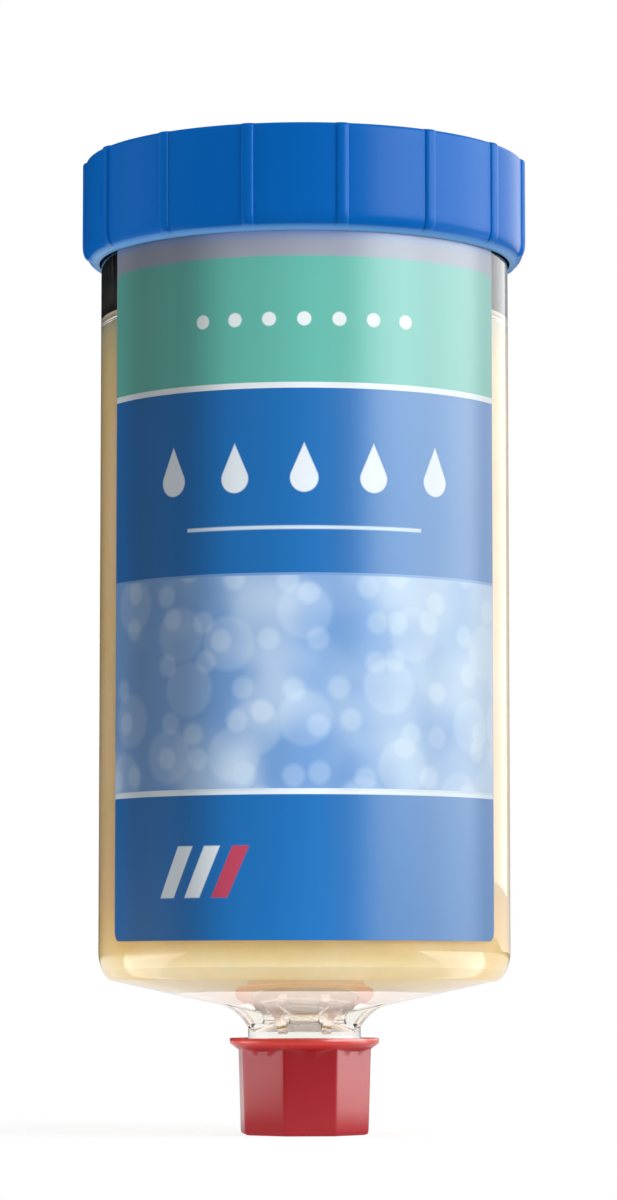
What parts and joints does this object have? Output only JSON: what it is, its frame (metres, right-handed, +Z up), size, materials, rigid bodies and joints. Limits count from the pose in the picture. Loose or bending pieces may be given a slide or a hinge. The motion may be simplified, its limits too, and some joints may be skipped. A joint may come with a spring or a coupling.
{
  "type": "automatic lubricator",
  "caption": "Upright clear grease cartridge with a ribbed gas-drive head, a follower piston and a capped threaded outlet.",
  "frame": {"origin": "centre of the closed base of the outlet plug, which is the lowest point", "axes": "+Z up the cartridge's axis from the outlet to the head; the middle of the label faces -Y"},
  "size_m": [0.0524, 0.0523, 0.1145],
  "materials": {
    "clear_polyamide": "clear, glossy moulding",
    "grease": "soft amber grease",
    "label_film": "printed film",
    "blue_abs": "satin moulding",
    "black_abs": "satin moulding",
    "nitrile_rubber": "matt",
    "pale_seal": "matt, natural colour",
    "board": "solder-resist green",
    "chip": "chip resistors",
    "cell_can": "nickel plated",
    "contact_metal": "nickel plated spring steel",
    "holder_plastic": "natural moulding",
    "red_plastic": "glossy red moulding"
  },
  "bodies": {
    "cartridge": {"container": "clear_polyamide", "grease_charge": "grease", "label": "label_film", "grip_ring": "blue_abs", "head_housing": "black_abs", "head_o_ring": "nitrile_rubber", "cover_plate": "black_abs", "cover_o_ring": "nitrile_rubber", "dial_o_ring": "nitrile_rubber", "circuit_board": "board", "setting_resistors": "chip", "cell_holder": "holder_plastic", "gas_cell": "cell_can", "gas_cell_seal": "nitrile_rubber", "battery_1": "cell_can", "battery_2": "cell_can", "battery_link": "contact_metal", "gas_cell_contact": "contact_metal", "battery_contact_1": "contact_metal", "battery_contact_2": "contact_metal"},
    "dial": {"time_dial": "black_abs", "dial_wiper": "contact_metal"},
    "piston": {"piston": "black_abs", "piston_seal_lower": "pale_seal", "piston_seal_upper": "nitrile_rubber"},
    "plug": {"outlet_plug": "red_plastic"}
  },
  "joints": [
    {"name": "dial_turn", "type": "hinge", "parent": "cartridge", "child": "dial", "pos_m": [0, 0, 0.1115], "axis": [0, 0, -1], "range_deg": [0, 300]},
    {"name": "piston_stroke", "type": "slide", "parent": "cartridge", "child": "piston", "axis": [0, 0, -1], "range_m": [0, 0.0738], "deforming": ["grease_charge"]},
    {"name": "plug_off", "type": "slide", "parent": "cartridge", "child": "plug", "axis": [0, 0, -1], "range_m": [0, 0.02]}
  ]
}
